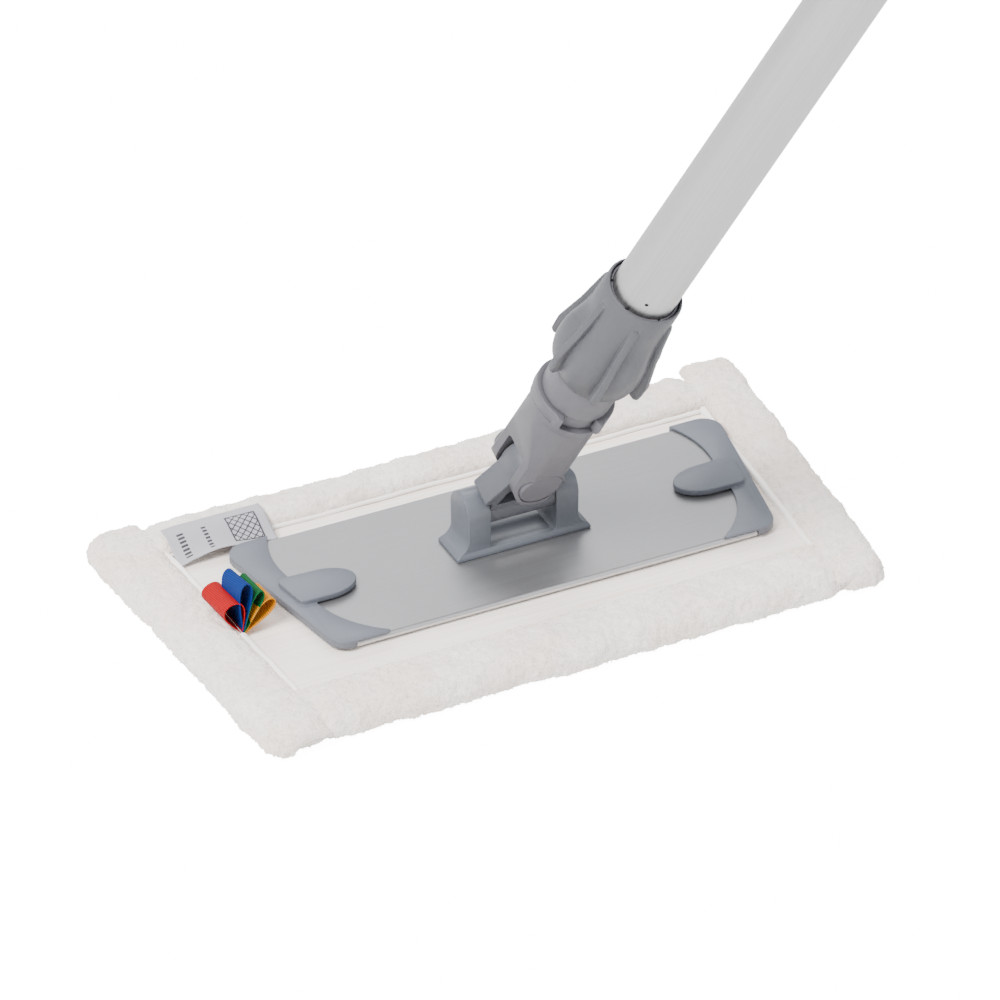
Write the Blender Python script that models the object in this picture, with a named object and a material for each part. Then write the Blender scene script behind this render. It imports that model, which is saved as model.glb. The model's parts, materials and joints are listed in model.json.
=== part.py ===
"""Flat mop: a removable textile pad on an aluminium plate, a two-way swivel and a tube handle.

Metres, +Z up, +X along the mop, +Y away from the user. The origin lies on the underside of
the pad, straight below the middle of the handle bracket.
"""
import math

import bmesh
import bpy
import numpy as np
from mathutils import Matrix, Vector

MM = 0.001
GAP = 0.3 * MM  # clearance between neighbours that touch

# Swivel pose as modelled: the handle leans towards the user and to the right.
LEAN = math.radians(26.2)
SWING = math.radians(12.7)

# Pad: mop cloth below, flat panel on it, four plush bands round the panel.
CLOTH_THICK = 4.0 * MM
PANEL_TOP = 7.0 * MM
BAND_TOP = 13.0 * MM
PAD_HALF_FRONT = 157.0 * MM  # the pad tapers like the plate, longer at the back
PAD_HALF_REAR = 167.0 * MM
PAD_MIDDLE = -12.5 * MM  # the pad is pressed on by hand, a little to the left
PAD_FRONT = -98.0 * MM
PAD_REAR = 83.0 * MM
END_BANDS = {-1: 31.0 * MM, 1: 27.5 * MM}  # left and right
FRONT_BAND = 38.0 * MM
REAR_BAND = 25.0 * MM
TAPE_WIDTH = 2.6 * MM
TAPE_HIGH = 1.2 * MM

# Plate: sheet aluminium, longer at the back than at the front.
PLATE_REAR = 246.0 * MM
PLATE_FRONT = 216.0 * MM
PLATE_DEPTH = 88.0 * MM
PLATE_THICK = 1.5 * MM
PLATE_BOTTOM = 9.5 * MM
PLATE_TOP = PLATE_BOTTOM + PLATE_THICK
HEM_RADIUS = 1.7 * MM
HEM_HALF = 100.0 * MM

# End caps.
CAP_SKIN = 1.5 * MM
CAP_BASE = 0.8 * MM
CAP_WALL = 2.2 * MM
TONGUE_HALF = 10.3 * MM
TONGUE_MIDDLE = -1.2 * MM
TONGUE_TIP = 80.3 * MM
TONGUE_TAPER = 16.0 * MM
TONGUE_ROOT = 111.5 * MM
TONGUE_RISE = 0.9 * MM
TONGUE_THICK = 3.0 * MM

# Bracket and hinge.
BRACKET_LONG = 66.6 * MM
BRACKET_DEEP = 20.6 * MM
BRACKET_HIGH = 30.0 * MM
YOKE_GAP = 33.0 * MM
UPRIGHT_OUT = 27.4 * MM
HINGE_HIGH = 20.4 * MM
BARREL_RADIUS = 8.4 * MM
HINGE_PIN_RADIUS = 3.0 * MM
RIVET_RADIUS = 2.0 * MM
RIVET_HEAD = 3.6 * MM

# Swivel head, measured from the swing pin along the handle.
PIN_LIFT = 30.2 * MM
TONGUE_THIN = 13.4 * MM
SLOT_WIDE = 15.0 * MM
CHEEK_OUT = 15.5 * MM
CHEEK_HALF = 12.3 * MM
HEAD_RADIUS = 17.0 * MM
HEAD_TOP = 48.0 * MM
SLOT_TOP = 13.5 * MM
SWING_SHAFT = 6.0 * MM
SWING_HEAD = 10.15 * MM

# Neck, nut and handle, also measured from the swing pin.
SLEEVE_RADIUS = 16.6 * MM
SPIGOT_RADIUS = 12.2 * MM
RING_LOW = 49.0 * MM
RING_HIGH = 55.4 * MM
RING_RADIUS = 19.0 * MM
NUT_LOW = 73.0 * MM
NUT_TOP = 133.0 * MM
NUT_BORE = 16.9 * MM
RIB_COUNT = 6
RIB_THICK = 3.6 * MM
TUBE_RADIUS = 15.0 * MM
TUBE_WALL = 1.2 * MM
TUBE_LOW = 62.0 * MM
TUBE_LENGTH = 1250.0 * MM
GRIP_LENGTH = 130.0 * MM


def clear_scene():
    """Remove every object the file opened with."""
    for old in list(bpy.data.objects):
        bpy.data.objects.remove(old, do_unlink=True)


def material(name, colour, roughness, metallic=0.0):
    """A Principled material of one finish."""
    made = bpy.data.materials.new(name)
    made.use_nodes = True
    shader = made.node_tree.nodes["Principled BSDF"]
    shader.inputs["Base Color"].default_value = (*colour, 1.0)
    shader.inputs["Roughness"].default_value = roughness
    shader.inputs["Metallic"].default_value = metallic
    return made


def frame(name, location, axis=None, angle=0.0, parent=None):
    """An empty that marks a joint axis, turned about one of its own axes."""
    empty = bpy.data.objects.new(name, None)
    bpy.context.collection.objects.link(empty)
    empty.parent = parent
    turn = Matrix.Rotation(angle, 4, axis) if axis else Matrix.Identity(4)
    empty.matrix_local = Matrix.Translation(location) @ turn
    return empty


def node(name, mesh_maker, finish=None, parent=None, sharp=35.0):
    """One object from a function that fills a bmesh."""
    data = bpy.data.meshes.new(name)
    bm = bmesh.new()
    mesh_maker(bm)
    bmesh.ops.recalc_face_normals(bm, faces=bm.faces)
    bm.to_mesh(data)
    bm.free()
    data.shade_smooth()
    data.set_sharp_from_angle(angle=math.radians(sharp))
    made = bpy.data.objects.new(name, data)
    bpy.context.collection.objects.link(made)
    made.parent = parent
    if finish is not None:
        data.materials.append(material(name + "_finish", *finish))
    return made


def cut(target, name, mesh_maker, operation="DIFFERENCE"):
    """Cut, join or intersect a node with a hidden tool shape made in the same frame."""
    tool = node(name, mesh_maker, parent=target.parent)
    tool.hide_render = True
    tool.display_type = "WIRE"
    step = target.modifiers.new(name, "BOOLEAN")
    step.operation = operation
    step.solver = "EXACT"
    step.object = tool
    return tool


def bevel(target, width, segments=2, angle=40.0):
    """Round the edges that are sharper than an angle."""
    step = target.modifiers.new("edge", "BEVEL")
    step.width = width
    step.segments = segments
    step.limit_method = "ANGLE"
    step.angle_limit = math.radians(angle)
    step.miter_outer = "MITER_ARC"


def arc(cx, cy, radius, start, stop, steps):
    """Points on a circle from one angle in degrees to another, both ends included."""
    angles = np.radians(np.linspace(start, stop, steps + 1))
    return [(cx + radius * math.cos(a), cy + radius * math.sin(a)) for a in angles]


def rounded(corners, radius, steps=5):
    """A polygon with each corner replaced by an arc that touches both of its sides."""
    points = []
    count = len(corners)
    for i in range(count):
        here = Vector(corners[i][:2])
        before = (Vector(corners[i - 1][:2]) - here).normalized()
        after = (Vector(corners[(i + 1) % count][:2]) - here).normalized()
        r = corners[i][2] if len(corners[i]) > 2 else radius
        half = before.angle(after) / 2
        middle = here + (before + after).normalized() * (r / math.sin(half))
        start = here + before * (r / math.tan(half)) - middle
        stop = here + after * (r / math.tan(half)) - middle
        turn = start.angle_signed(stop)
        for k in range(steps + 1):
            points.append(tuple(middle + Matrix.Rotation(-turn * k / steps, 2) @ start))
    return points


def prism(bm, outline, axis, low, high):
    """Extrude a closed outline along X, Y or Z between two planes."""
    place = {
        "X": lambda a, b, c: (c, a, b),
        "Y": lambda a, b, c: (a, c, b),
        "Z": lambda a, b, c: (a, b, c),
    }[axis]
    face = bm.faces.new([bm.verts.new(place(a, b, low)) for a, b in outline])
    moved = bmesh.ops.extrude_face_region(bm, geom=[face])
    lift = Vector(place(0, 0, high - low))
    verts = [v for v in moved["geom"] if isinstance(v, bmesh.types.BMVert)]
    bmesh.ops.translate(bm, vec=lift, verts=verts)


def turned(bm, profile, segments=48, axis="Z"):
    """Spin a closed profile of (radius, height) points; points on the axis become poles."""
    rows = []
    for radius, height in profile:
        if radius < 1e-9:
            rows.append([bm.verts.new((0, 0, height))] * segments)
            continue
        ring = []
        for k in range(segments):
            a = 2 * math.pi * k / segments
            ring.append(bm.verts.new((radius * math.cos(a), radius * math.sin(a), height)))
        rows.append(ring)
    for i in range(len(rows)):
        lower, upper = rows[i - 1], rows[i]
        for k in range(segments):
            n = (k + 1) % segments
            quad = [lower[k], lower[n], upper[n], upper[k]]
            corners = list(dict.fromkeys(quad))
            if len(corners) > 2:
                bm.faces.new(corners)
    if axis == "X":
        bmesh.ops.rotate(bm, matrix=Matrix.Rotation(math.pi / 2, 3, "Y"), verts=bm.verts)
    if axis == "Y":
        bmesh.ops.rotate(bm, matrix=Matrix.Rotation(-math.pi / 2, 3, "X"), verts=bm.verts)


def rod(bm, radius, low, high, axis="Z", segments=32):
    """A plain cylinder on the origin's axis."""
    turned(bm, [(0, low), (radius, low), (radius, high), (0, high)], segments, axis)


def box(bm, x0, x1, y0, y1, z0, z1):
    """A rectangular block."""
    prism(bm, [(x0, y0), (x1, y0), (x1, y1), (x0, y1)], "Z", z0, z1)


# ---------------------------------------------------------------- pad

PLUSH = ((0.80, 0.77, 0.73), 0.95)
WOVEN = ((0.84, 0.81, 0.77), 0.8)
INNER_FRONT = PAD_FRONT + FRONT_BAND
INNER_REAR = PAD_REAR - REAR_BAND


def pad_end(side, y, inset=0.0):
    """X of a line that runs along the pad's left (-1) or right (1) end, inset from it."""
    share = (y - PAD_FRONT) / (PAD_REAR - PAD_FRONT)
    half = PAD_HALF_FRONT + (PAD_HALF_REAR - PAD_HALF_FRONT) * share
    return PAD_MIDDLE + side * (half - inset)


def seam(side, y, past=0.0):
    """X of an end band's inner seam, or of a line further in by a distance."""
    return pad_end(side, y, END_BANDS[side] + past)


def slab(bm, ends, y0, y1, z0, z1, corner=0.0):
    """A slab across the pad between its two end lines, with rounded corners."""
    corners = [(ends(-1, y0), y0), (ends(1, y0), y0), (ends(1, y1), y1), (ends(-1, y1), y1)]
    prism(bm, rounded(corners, corner) if corner else corners, "Z", z0, z1)


def end_strip(bm, side, inset, width, y0, y1, z0, z1, corner=0.0):
    """A strip of even width along one end of the pad."""
    corners = [(pad_end(side, y0, inset), y0), (pad_end(side, y1, inset), y1)]
    corners += [(pad_end(side, y1, inset + width), y1), (pad_end(side, y0, inset + width), y0)]
    corners = corners[::side]
    prism(bm, rounded(corners, corner) if corner else corners, "Z", z0, z1)


def make_pad():
    """The cloth, its panel and the four bands, with their edges rounded over."""
    low = CLOTH_THICK + GAP
    cloth = node(
        "mop_cloth",
        lambda bm: slab(bm, pad_end, PAD_FRONT, PAD_REAR, 0, CLOTH_THICK, 14 * MM), PLUSH,
    )
    bevel(cloth, 1.2 * MM)

    def between(side, y):
        return seam(side, y, GAP)

    node(
        "backing_panel",
        lambda bm: slab(bm, between, INNER_FRONT + GAP, INNER_REAR - GAP, low, PANEL_TOP), WOVEN,
    )
    bands = [
        node(
            "pad_band_" + name,
            lambda bm, s=side: end_strip(
                bm, s, 0, END_BANDS[s], PAD_FRONT, PAD_REAR, low, BAND_TOP, 9 * MM
            ),
            PLUSH,
        )
        for name, side in (("left", -1), ("right", 1))
    ]
    bands += [
        node(
            "pad_band_" + name,
            lambda bm, a=y0, b=y1: slab(bm, between, a, b, low, BAND_TOP), PLUSH,
        )
        for name, y0, y1 in (
            ("front", PAD_FRONT, INNER_FRONT), ("rear", INNER_REAR, PAD_REAR),
        )
    ]
    for band in bands:
        bevel(band, 3.4 * MM, 3)


def make_tapes():
    """Folded binding tape along each inner seam, standing on the panel."""
    low, high = PANEL_TOP + GAP, PANEL_TOP + GAP + TAPE_HIGH
    y0, y1 = INNER_FRONT + GAP, INNER_REAR - GAP
    for name, side in (("left", -1), ("right", 1)):
        node(
            "binding_tape_" + name,
            lambda bm, s=side: end_strip(
                bm, s, END_BANDS[s] + GAP, TAPE_WIDTH, y0, y1, low, high
            ),
            WOVEN,
        )

    def between(side, y):
        return seam(side, y, TAPE_WIDTH + 2 * GAP)

    for name, y in (("front", y0), ("rear", y1 - TAPE_WIDTH)):
        node(
            "binding_tape_" + name,
            lambda bm, a=y: slab(bm, between, a, a + TAPE_WIDTH, low, high), WOVEN,
        )


def make_label():
    """The care label: sewn in at the left seam, its far half lying up on the rear band."""
    thick = 1.0 * MM
    low = PANEL_TOP + TAPE_HIGH + 3 * GAP
    near, far = 48.0 * MM, 67.0 * MM
    crest = INNER_REAR - 2.5 * MM
    left = seam(-1, near, TAPE_WIDTH + 2 * GAP)
    top = BAND_TOP + GAP

    def shape(bm):
        outline = [
            (near, low), (crest, top), (far, top), (far, top + thick),
            (crest - 0.5 * MM, top + thick), (near - 0.5 * MM, low + thick),
        ]
        prism(bm, outline, "X", left, -97.5 * MM)

    node("care_label", shape, ((0.62, 0.62, 0.66), 0.7))


def make_loops():
    """Four folded ribbons fanned out from one point of the left seam."""
    root = (seam(-1, 0, TAPE_WIDTH + 1.0 * MM), PANEL_TOP + 1.0 * MM)
    start = 4.0 * MM
    # colour, lean from upright in degrees, reach, half thickness, ribbon's near and far edge
    ribbons = (
        ("red", -23.0, 18.0, 4.0, (0.64, 0.01, 0.03), -15.0, 9.0),
        ("blue", 3.0, 25.5, 2.4, (0.01, 0.08, 0.33), -15.0, 5.0),
        ("green", 25.0, 22.0, 2.3, (0.01, 0.23, 0.08), -15.0, 5.0),
        ("yellow", 48.0, 21.0, 3.0, (0.85, 0.47, 0.01), -15.0, 3.0),
    )
    for colour, lean, reach, half, rgb, near, far in ribbons:
        along = Vector((math.sin(math.radians(lean)), math.cos(math.radians(lean))))
        across = Vector((along.y, -along.x))
        r = half * MM
        end = reach * MM - r
        points = [(start, -0.5 * MM)]
        points += [(end + r * math.cos(a), r * math.sin(a)) for a in np.radians([-80, -40, 0])]
        points += [(end + r * math.cos(a), r * math.sin(a)) for a in np.radians([40, 80])]
        points += [(start, 0.5 * MM)]
        outline = [tuple(Vector(root) + along * p + across * q) for p, q in points]
        node(
            "colour_loop_" + colour,
            lambda bm, o=outline, a=near, b=far: prism(bm, o, "Y", a * MM, b * MM),
            (rgb, 0.6),
        )


# ---------------------------------------------------------------- plate, caps, hook strips

ALUMINIUM = ((0.47, 0.47, 0.48), 0.32, 1.0)
GREY_CAP = ((0.29, 0.32, 0.36), 0.42)


def plate_corners(grow=0.0, corner=7 * MM):
    """The plate's four corners, moved outwards by a distance, each with its corner radius."""
    slant = (PLATE_REAR - PLATE_FRONT) / 2 / PLATE_DEPTH
    side = grow * math.hypot(1, slant)
    y = PLATE_DEPTH / 2 + grow
    rear = PLATE_REAR / 2 + side + slant * grow
    front = PLATE_FRONT / 2 + side - slant * grow
    r = corner + grow
    return [(-front, -y, r), (front, -y, r), (rear, y, r), (-rear, y, r)]


def make_plate():
    """Sheet with a rolled hem along the front and rear edges."""
    plate = node(
        "plate",
        lambda bm: prism(bm, rounded(plate_corners(), 0), "Z", PLATE_BOTTOM, PLATE_TOP),
        ALUMINIUM,
    )
    for side in (-1, 1):
        y = side * (PLATE_DEPTH / 2 - 0.2 * MM)
        z = PLATE_BOTTOM - 0.3 * MM

        def hem(bm, y=y, z=z):
            rod(bm, HEM_RADIUS, -HEM_HALF, HEM_HALF, "X", 16)
            bmesh.ops.translate(bm, vec=(0, y, z), verts=bm.verts)

        cut(plate, "hem_front" if side < 0 else "hem_rear", hem, "UNION")
    cut(plate, "plate_rivet_holes", lambda bm: rivet_rods(bm, RIVET_RADIUS + GAP, 0, 20 * MM))


def rivet_places():
    """The four rivets stand under the uprights."""
    return [(x * 22 * MM, y * 5.2 * MM) for x in (-1, 1) for y in (-1, 1)]


def rivet_rods(bm, radius, low, high):
    """Four upright rods at the rivets' places."""
    for x, y in rivet_places():
        outline = arc(x, y, radius, 0, 360 - 360 / 16, 15)
        prism(bm, outline, "Z", low, high)


def cap_outline(side):
    """A C-shaped plan: round the plate's end, with two concave inner arcs and pointed arms."""
    grown = plate_corners(CAP_WALL)
    front_y, rear_y = grown[0][1], grown[2][1]
    outer = rounded([grown[1], grown[2]] + [(0, rear_y), (0, front_y)], 1 * MM)[:12]
    far_tip = (101.5 * MM, rear_y)
    far_root = (107.5 * MM, 16.0 * MM)
    near_root = (104.5 * MM, -9.0 * MM)
    near_tip = (83.5 * MM, front_y + 1.5 * MM)
    inner = bowed(far_tip, far_root, 2.4 * MM) + bowed(near_root, near_tip, 4.5 * MM)
    points = outer + inner + [(near_tip[0] + 1.2 * MM, front_y)]
    return [(side * x, y) for x, y in points]


def bowed(start, stop, sagitta, steps=9):
    """Points from start to stop along an arc that bulges towards the plate's end (+X)."""
    a, b = Vector(start), Vector(stop)
    chord = b - a
    out = Vector((-chord.y, chord.x)).normalized()
    if out.x < 0:
        out = -out
    ts = np.linspace(0, 1, steps + 1)
    return [tuple(a + chord * t + out * (4 * sagitta * t * (1 - t))) for t in ts]


def tongue_outline(side):
    """A strip from the cap's outer edge inwards, narrowing to half an ellipse at its tip."""
    near, far = TONGUE_MIDDLE - TONGUE_HALF, TONGUE_MIDDLE + TONGUE_HALF
    straight = TONGUE_TIP + TONGUE_TAPER
    points = [
        (straight + TONGUE_TAPER * math.cos(a), TONGUE_MIDDLE + TONGUE_HALF * math.sin(a))
        for a in np.radians(np.linspace(90, 270, 17))
    ]
    near_root = (TONGUE_ROOT, near)
    far_root = (TONGUE_ROOT + 3.4 * MM, far + 1.0 * MM)
    points += rounded([(straight, near), near_root, far_root, (straight, far)], 3.5 * MM)[6:18]
    return [(side * x, y) for x, y in points]


def make_caps():
    """Moulded caps pushed over the plate's ends, each with a raised tongue."""
    low = PLATE_BOTTOM - CAP_BASE
    high = PLATE_TOP + CAP_SKIN
    slot_low, slot_high = PLATE_BOTTOM - GAP, PLATE_TOP + GAP
    for name, side in (("end_cap_left", -1), ("end_cap_right", 1)):
        cap = node(
            name, lambda bm, s=side: prism(bm, cap_outline(s), "Z", low, high), GREY_CAP
        )
        tongue = cut(
            cap, name + "_tongue",
            lambda bm, s=side: prism(
                bm, tongue_outline(s), "Z", PLATE_TOP + TONGUE_RISE,
                PLATE_TOP + TONGUE_RISE + TONGUE_THICK,
            ),
            "UNION",
        )
        bevel(tongue, 0.6 * MM)
        cut(
            cap, name + "_slot",
            lambda bm: prism(
                bm, rounded(plate_corners(GAP), 0), "Z", slot_low, slot_high
            ),
        )
        reach = HEM_HALF + 1.5 * GAP
        edge = PLATE_DEPTH / 2 - 2.4 * MM
        for end, y0, y1 in (("front", -edge - 10 * MM, -edge), ("rear", edge, edge + 10 * MM)):
            cut(
                cap, name + "_hem_room_" + end,
                lambda bm, a=y0, b=y1: box(bm, -reach, reach, a, b, 0, PLATE_TOP + GAP),
            )
        bevel(cap, 0.5 * MM, 2, 60)


def make_hook_strips():
    """Strips of hook tape glued under the plate, which grip the pad."""
    for side, y in (("front", -29 * MM), ("rear", 29 * MM)):
        node(
            "hook_strip_" + side,
            lambda bm, y=y: box(
                bm, -84 * MM, 84 * MM, y - 10 * MM, y + 10 * MM,
                PANEL_TOP + GAP, PLATE_BOTTOM - GAP,
            ),
            ((0.10, 0.10, 0.11), 0.9),
        )


# ---------------------------------------------------------------- bracket, knuckle, hinge pin

GREY_BRACKET = ((0.21, 0.235, 0.26), 0.38)
GREY_KNUCKLE = ((0.27, 0.28, 0.31), 0.42)
GREY_FORK = ((0.29, 0.29, 0.31), 0.42)
STEEL = ((0.55, 0.55, 0.56), 0.3, 1.0)


def make_bracket(seat):
    """A base with two uprights: the front view extruded, trimmed to the side view."""
    half = BRACKET_LONG / 2
    inner = YOKE_GAP / 2
    top = BRACKET_HIGH
    front_view = [(-half, 0), (half, 0), (half, 1.3 * MM)]
    flare = arc(half + 1.0 * MM, 9.5 * MM, 7.0 * MM, 250, 187, 5)
    front_view += flare
    right = rounded(
        [(UPRIGHT_OUT + 0.8 * MM, 10 * MM), (UPRIGHT_OUT, top), (inner, top), (inner, 3 * MM)],
        2.2 * MM, 4,
    )[5:15]
    front_view += right
    trough = rounded([(inner, top), (inner, 3 * MM), (-inner, 3 * MM), (-inner, top)], 2.4 * MM, 4)
    front_view += trough[5:15]
    front_view += [(-x, z) for x, z in reversed(right)]
    front_view += [(-x, z) for x, z in reversed(flare)]
    front_view += [(-half, 1.3 * MM)]

    deep = BRACKET_DEEP / 2
    dome = 9.6 * MM
    side_view = [(-deep, 0), (deep, 0), (deep, 1.4 * MM), (deep - 0.9 * MM, 3.2 * MM)]
    side_view += arc(0, HINGE_HIGH, dome, 0, 180, 16)
    side_view += [(-deep + 0.9 * MM, 3.2 * MM), (-deep, 1.4 * MM)]

    bracket = node(
        "bracket", lambda bm: prism(bm, front_view, "Y", -deep, deep), GREY_BRACKET, seat
    )
    cut(
        bracket, "bracket_side_view",
        lambda bm: prism(bm, side_view, "X", -half - 1 * MM, half + 1 * MM), "INTERSECT",
    )
    bevel(bracket, 0.7 * MM, 2, 50)

    def trough_floor(bm):
        rod(bm, 11 * MM, -inner + 1.5 * MM, inner - 1.5 * MM, "X", 40)
        bmesh.ops.translate(bm, vec=(0, 0, 12.4 * MM), verts=bm.verts)

    cut(bracket, "bracket_trough", trough_floor)

    def pin_seats(bm):
        rod(bm, HINGE_PIN_RADIUS + GAP, -22.3 * MM, 22.3 * MM, "X", 24)
        bmesh.ops.translate(bm, vec=(0, 0, HINGE_HIGH), verts=bm.verts)

    cut(bracket, "bracket_pin_seats", pin_seats)
    cut(
        bracket, "bracket_rivet_holes",
        lambda bm: rivet_rods(bm, RIVET_RADIUS + GAP, -2 * MM, 8.3 * MM),
    )

    def rivet(bm, x, y):
        profile = [
            (0, -4.0 * MM + GAP * 4), (RIVET_HEAD, -3.0 * MM + GAP * 2),
            (RIVET_HEAD, -2.1 * MM), (RIVET_RADIUS, -2.1 * MM),
            (RIVET_RADIUS, 8 * MM), (0, 8 * MM),
        ]
        turned(bm, profile, 16)
        bmesh.ops.translate(bm, vec=(x, y, 0), verts=bm.verts)

    for number, (x, y) in enumerate(rivet_places(), 1):
        node(f"rivet_{number}", lambda bm, x=x, y=y: rivet(bm, x, y), STEEL, seat)


def make_knuckle(tilt):
    """Barrel between the uprights, with a flat tongue that narrows up to the swing pin."""
    end = YOKE_GAP / 2 - GAP
    flat = TONGUE_THIN / 2
    lip = 20.0 * MM
    lip_low, lip_high = 10.9 * MM, 13.4 * MM
    crown = 10.4 * MM
    half_view = [(end, 0), (end, lip_low), (lip, lip_low), (lip + 0.4 * MM, lip_high)]
    half_view += [(crown + 0.8 * MM, PIN_LIFT - 3.5 * MM)]
    outline = half_view + arc(0, PIN_LIFT, crown, 0, 180, 16)
    outline += [(-x, z) for x, z in reversed(half_view)]
    knuckle = node(
        "knuckle", lambda bm: prism(bm, outline, "Y", -flat, flat), GREY_KNUCKLE, tilt
    )
    bevel(knuckle, 0.6 * MM, 2, 30)
    cut(knuckle, "knuckle_barrel", lambda bm: rod(bm, BARREL_RADIUS, -end, end, "X", 40), "UNION")

    def recesses(bm):
        triangle = [(14.0 * MM, 9.4 * MM), (3.5 * MM, 9.4 * MM)]
        triangle += [(7.6 * MM, 19.5 * MM), (9.8 * MM, 19.5 * MM)]
        for sx in (-1, 1):
            for y0, y1 in ((-12 * MM, -2.2 * MM), (2.2 * MM, 12 * MM)):
                prism(bm, [(sx * x, z) for x, z in triangle], "Y", y0, y1)

    cut(knuckle, "knuckle_recesses", recesses)
    cut(
        knuckle, "knuckle_hinge_hole",
        lambda bm: rod(bm, HINGE_PIN_RADIUS + GAP, -30 * MM, 30 * MM, "X", 24),
    )

    def swing_hole(bm):
        rod(bm, SWING_SHAFT + GAP, -30 * MM, 30 * MM, "Y", 32)
        bmesh.ops.translate(bm, vec=(0, 0, PIN_LIFT), verts=bm.verts)

    cut(knuckle, "knuckle_swing_hole", swing_hole)


def make_hinge_pin(seat):
    """Steel pin through the barrel, held in blind holes of the uprights."""

    def shape(bm):
        rod(bm, HINGE_PIN_RADIUS, -22 * MM, 22 * MM, "X", 24)
        bmesh.ops.translate(bm, vec=(0, 0, HINGE_HIGH), verts=bm.verts)

    node("hinge_pin", shape, STEEL, seat)


# ---------------------------------------------------------------- fork and swing pin


def make_fork(swing):
    """Round head that narrows to two cheeks over the knuckle's tongue."""
    shoulder = 41.0 * MM
    waist = 14.0 * MM

    def core(bm):
        profile = [
            (0, -14 * MM), (HEAD_RADIUS, -14 * MM), (HEAD_RADIUS, HEAD_TOP - 3.2 * MM),
            (18.2 * MM, HEAD_TOP - 2.8 * MM), (18.2 * MM, HEAD_TOP), (0, HEAD_TOP),
        ]
        turned(bm, profile, 58)

    fork = node("fork", core, GREY_FORK, swing)
    wide = 19.0 * MM
    swing_view = [(wide, shoulder + 1 * MM), (wide, HEAD_TOP + 1 * MM), (-wide, HEAD_TOP + 1 * MM)]
    swing_view += [(-wide, shoulder + 1 * MM), (-HEAD_RADIUS, shoulder), (-CHEEK_HALF, waist)]
    swing_view += arc(0, 0, CHEEK_HALF, 180, 360, 23)
    swing_view += [(CHEEK_HALF, waist), (HEAD_RADIUS, shoulder)]
    cut(
        fork, "fork_swing_view",
        lambda bm: prism(bm, swing_view, "Y", -25 * MM, 25 * MM), "INTERSECT",
    )
    face_view = [(wide, shoulder + 1 * MM), (wide, HEAD_TOP + 1 * MM), (-wide, HEAD_TOP + 1 * MM)]
    face_view += [(-wide, shoulder + 1 * MM), (-HEAD_RADIUS, shoulder), (-CHEEK_OUT, waist)]
    face_view += [(-CHEEK_OUT, -20 * MM), (CHEEK_OUT, -20 * MM), (CHEEK_OUT, waist)]
    face_view += [(HEAD_RADIUS, shoulder)]
    cut(
        fork, "fork_face_view",
        lambda bm: prism(bm, face_view, "X", -25 * MM, 25 * MM), "INTERSECT",
    )

    slot = rounded(
        [(-SLOT_WIDE / 2, -30 * MM), (SLOT_WIDE / 2, -30 * MM), (SLOT_WIDE / 2, SLOT_TOP),
         (-SLOT_WIDE / 2, SLOT_TOP)], 2.0 * MM,
    )
    cut(fork, "fork_slot", lambda bm: prism(bm, slot, "X", -25 * MM, 25 * MM))
    bevel(fork, 0.5 * MM, 2, 40)
    cut(
        fork, "fork_pin_bore",
        lambda bm: rod(bm, SWING_HEAD + GAP, -30 * MM, 30 * MM, "Y", 40),
    )
    cut(
        fork, "fork_socket",
        lambda bm: rod(bm, SPIGOT_RADIUS + GAP, 22 * MM, 60 * MM, "Z", 40),
    )


def make_swing_pin(swing):
    """Shouldered pin, flush in the near cheek, and the cap that closes the far cheek."""
    inner = SLOT_WIDE / 2 + 0.2 * MM
    outer = CHEEK_OUT - 0.2 * MM
    shaft_end = inner + 3.0 * MM
    pin_profile = [
        (0, -outer), (SWING_HEAD - 0.5 * MM, -outer), (SWING_HEAD, -outer + 0.5 * MM),
        (SWING_HEAD, -inner), (SWING_SHAFT, -inner), (SWING_SHAFT, shaft_end), (0, shaft_end),
    ]
    node("swing_pin", lambda bm: turned(bm, pin_profile, 40, "Y"), GREY_FORK, swing)
    cap_profile = [
        (0, shaft_end + GAP), (SWING_SHAFT + GAP, shaft_end + GAP), (SWING_SHAFT + GAP, inner),
        (SWING_HEAD, inner), (SWING_HEAD, outer - 0.5 * MM), (SWING_HEAD - 0.5 * MM, outer),
        (0, outer),
    ]
    node("swing_pin_cap", lambda bm: turned(bm, cap_profile, 40, "Y"), GREY_FORK, swing)


# ---------------------------------------------------------------- neck, ring, nut


def make_ring(swing):
    """Open retaining ring with a lug at each end, in the gap above the fork's head."""
    start, stop = math.radians(-81), math.radians(227)
    inner = SLEEVE_RADIUS - 1.0 * MM + GAP
    steps = 44

    def shape(bm):
        rows = []
        for a in np.linspace(start, stop, steps + 1):
            from_end = min(a - start, stop - a)
            outer = RING_RADIUS + (1.6 * MM if from_end < math.radians(9) else 0)
            section = [(inner, RING_LOW), (outer, RING_LOW), (outer, RING_HIGH), (inner, RING_HIGH)]
            rows.append([
                bm.verts.new((r * math.cos(a), r * math.sin(a), z)) for r, z in section
            ])
        for lower, upper in zip(rows, rows[1:]):
            for k in range(4):
                n = (k + 1) % 4
                bm.faces.new([lower[k], lower[n], upper[n], upper[k]])
        bm.faces.new(rows[0][::-1])
        bm.faces.new(rows[-1])

    ring = node("retaining_ring", shape, GREY_FORK, swing)
    bevel(ring, 0.5 * MM)


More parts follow.
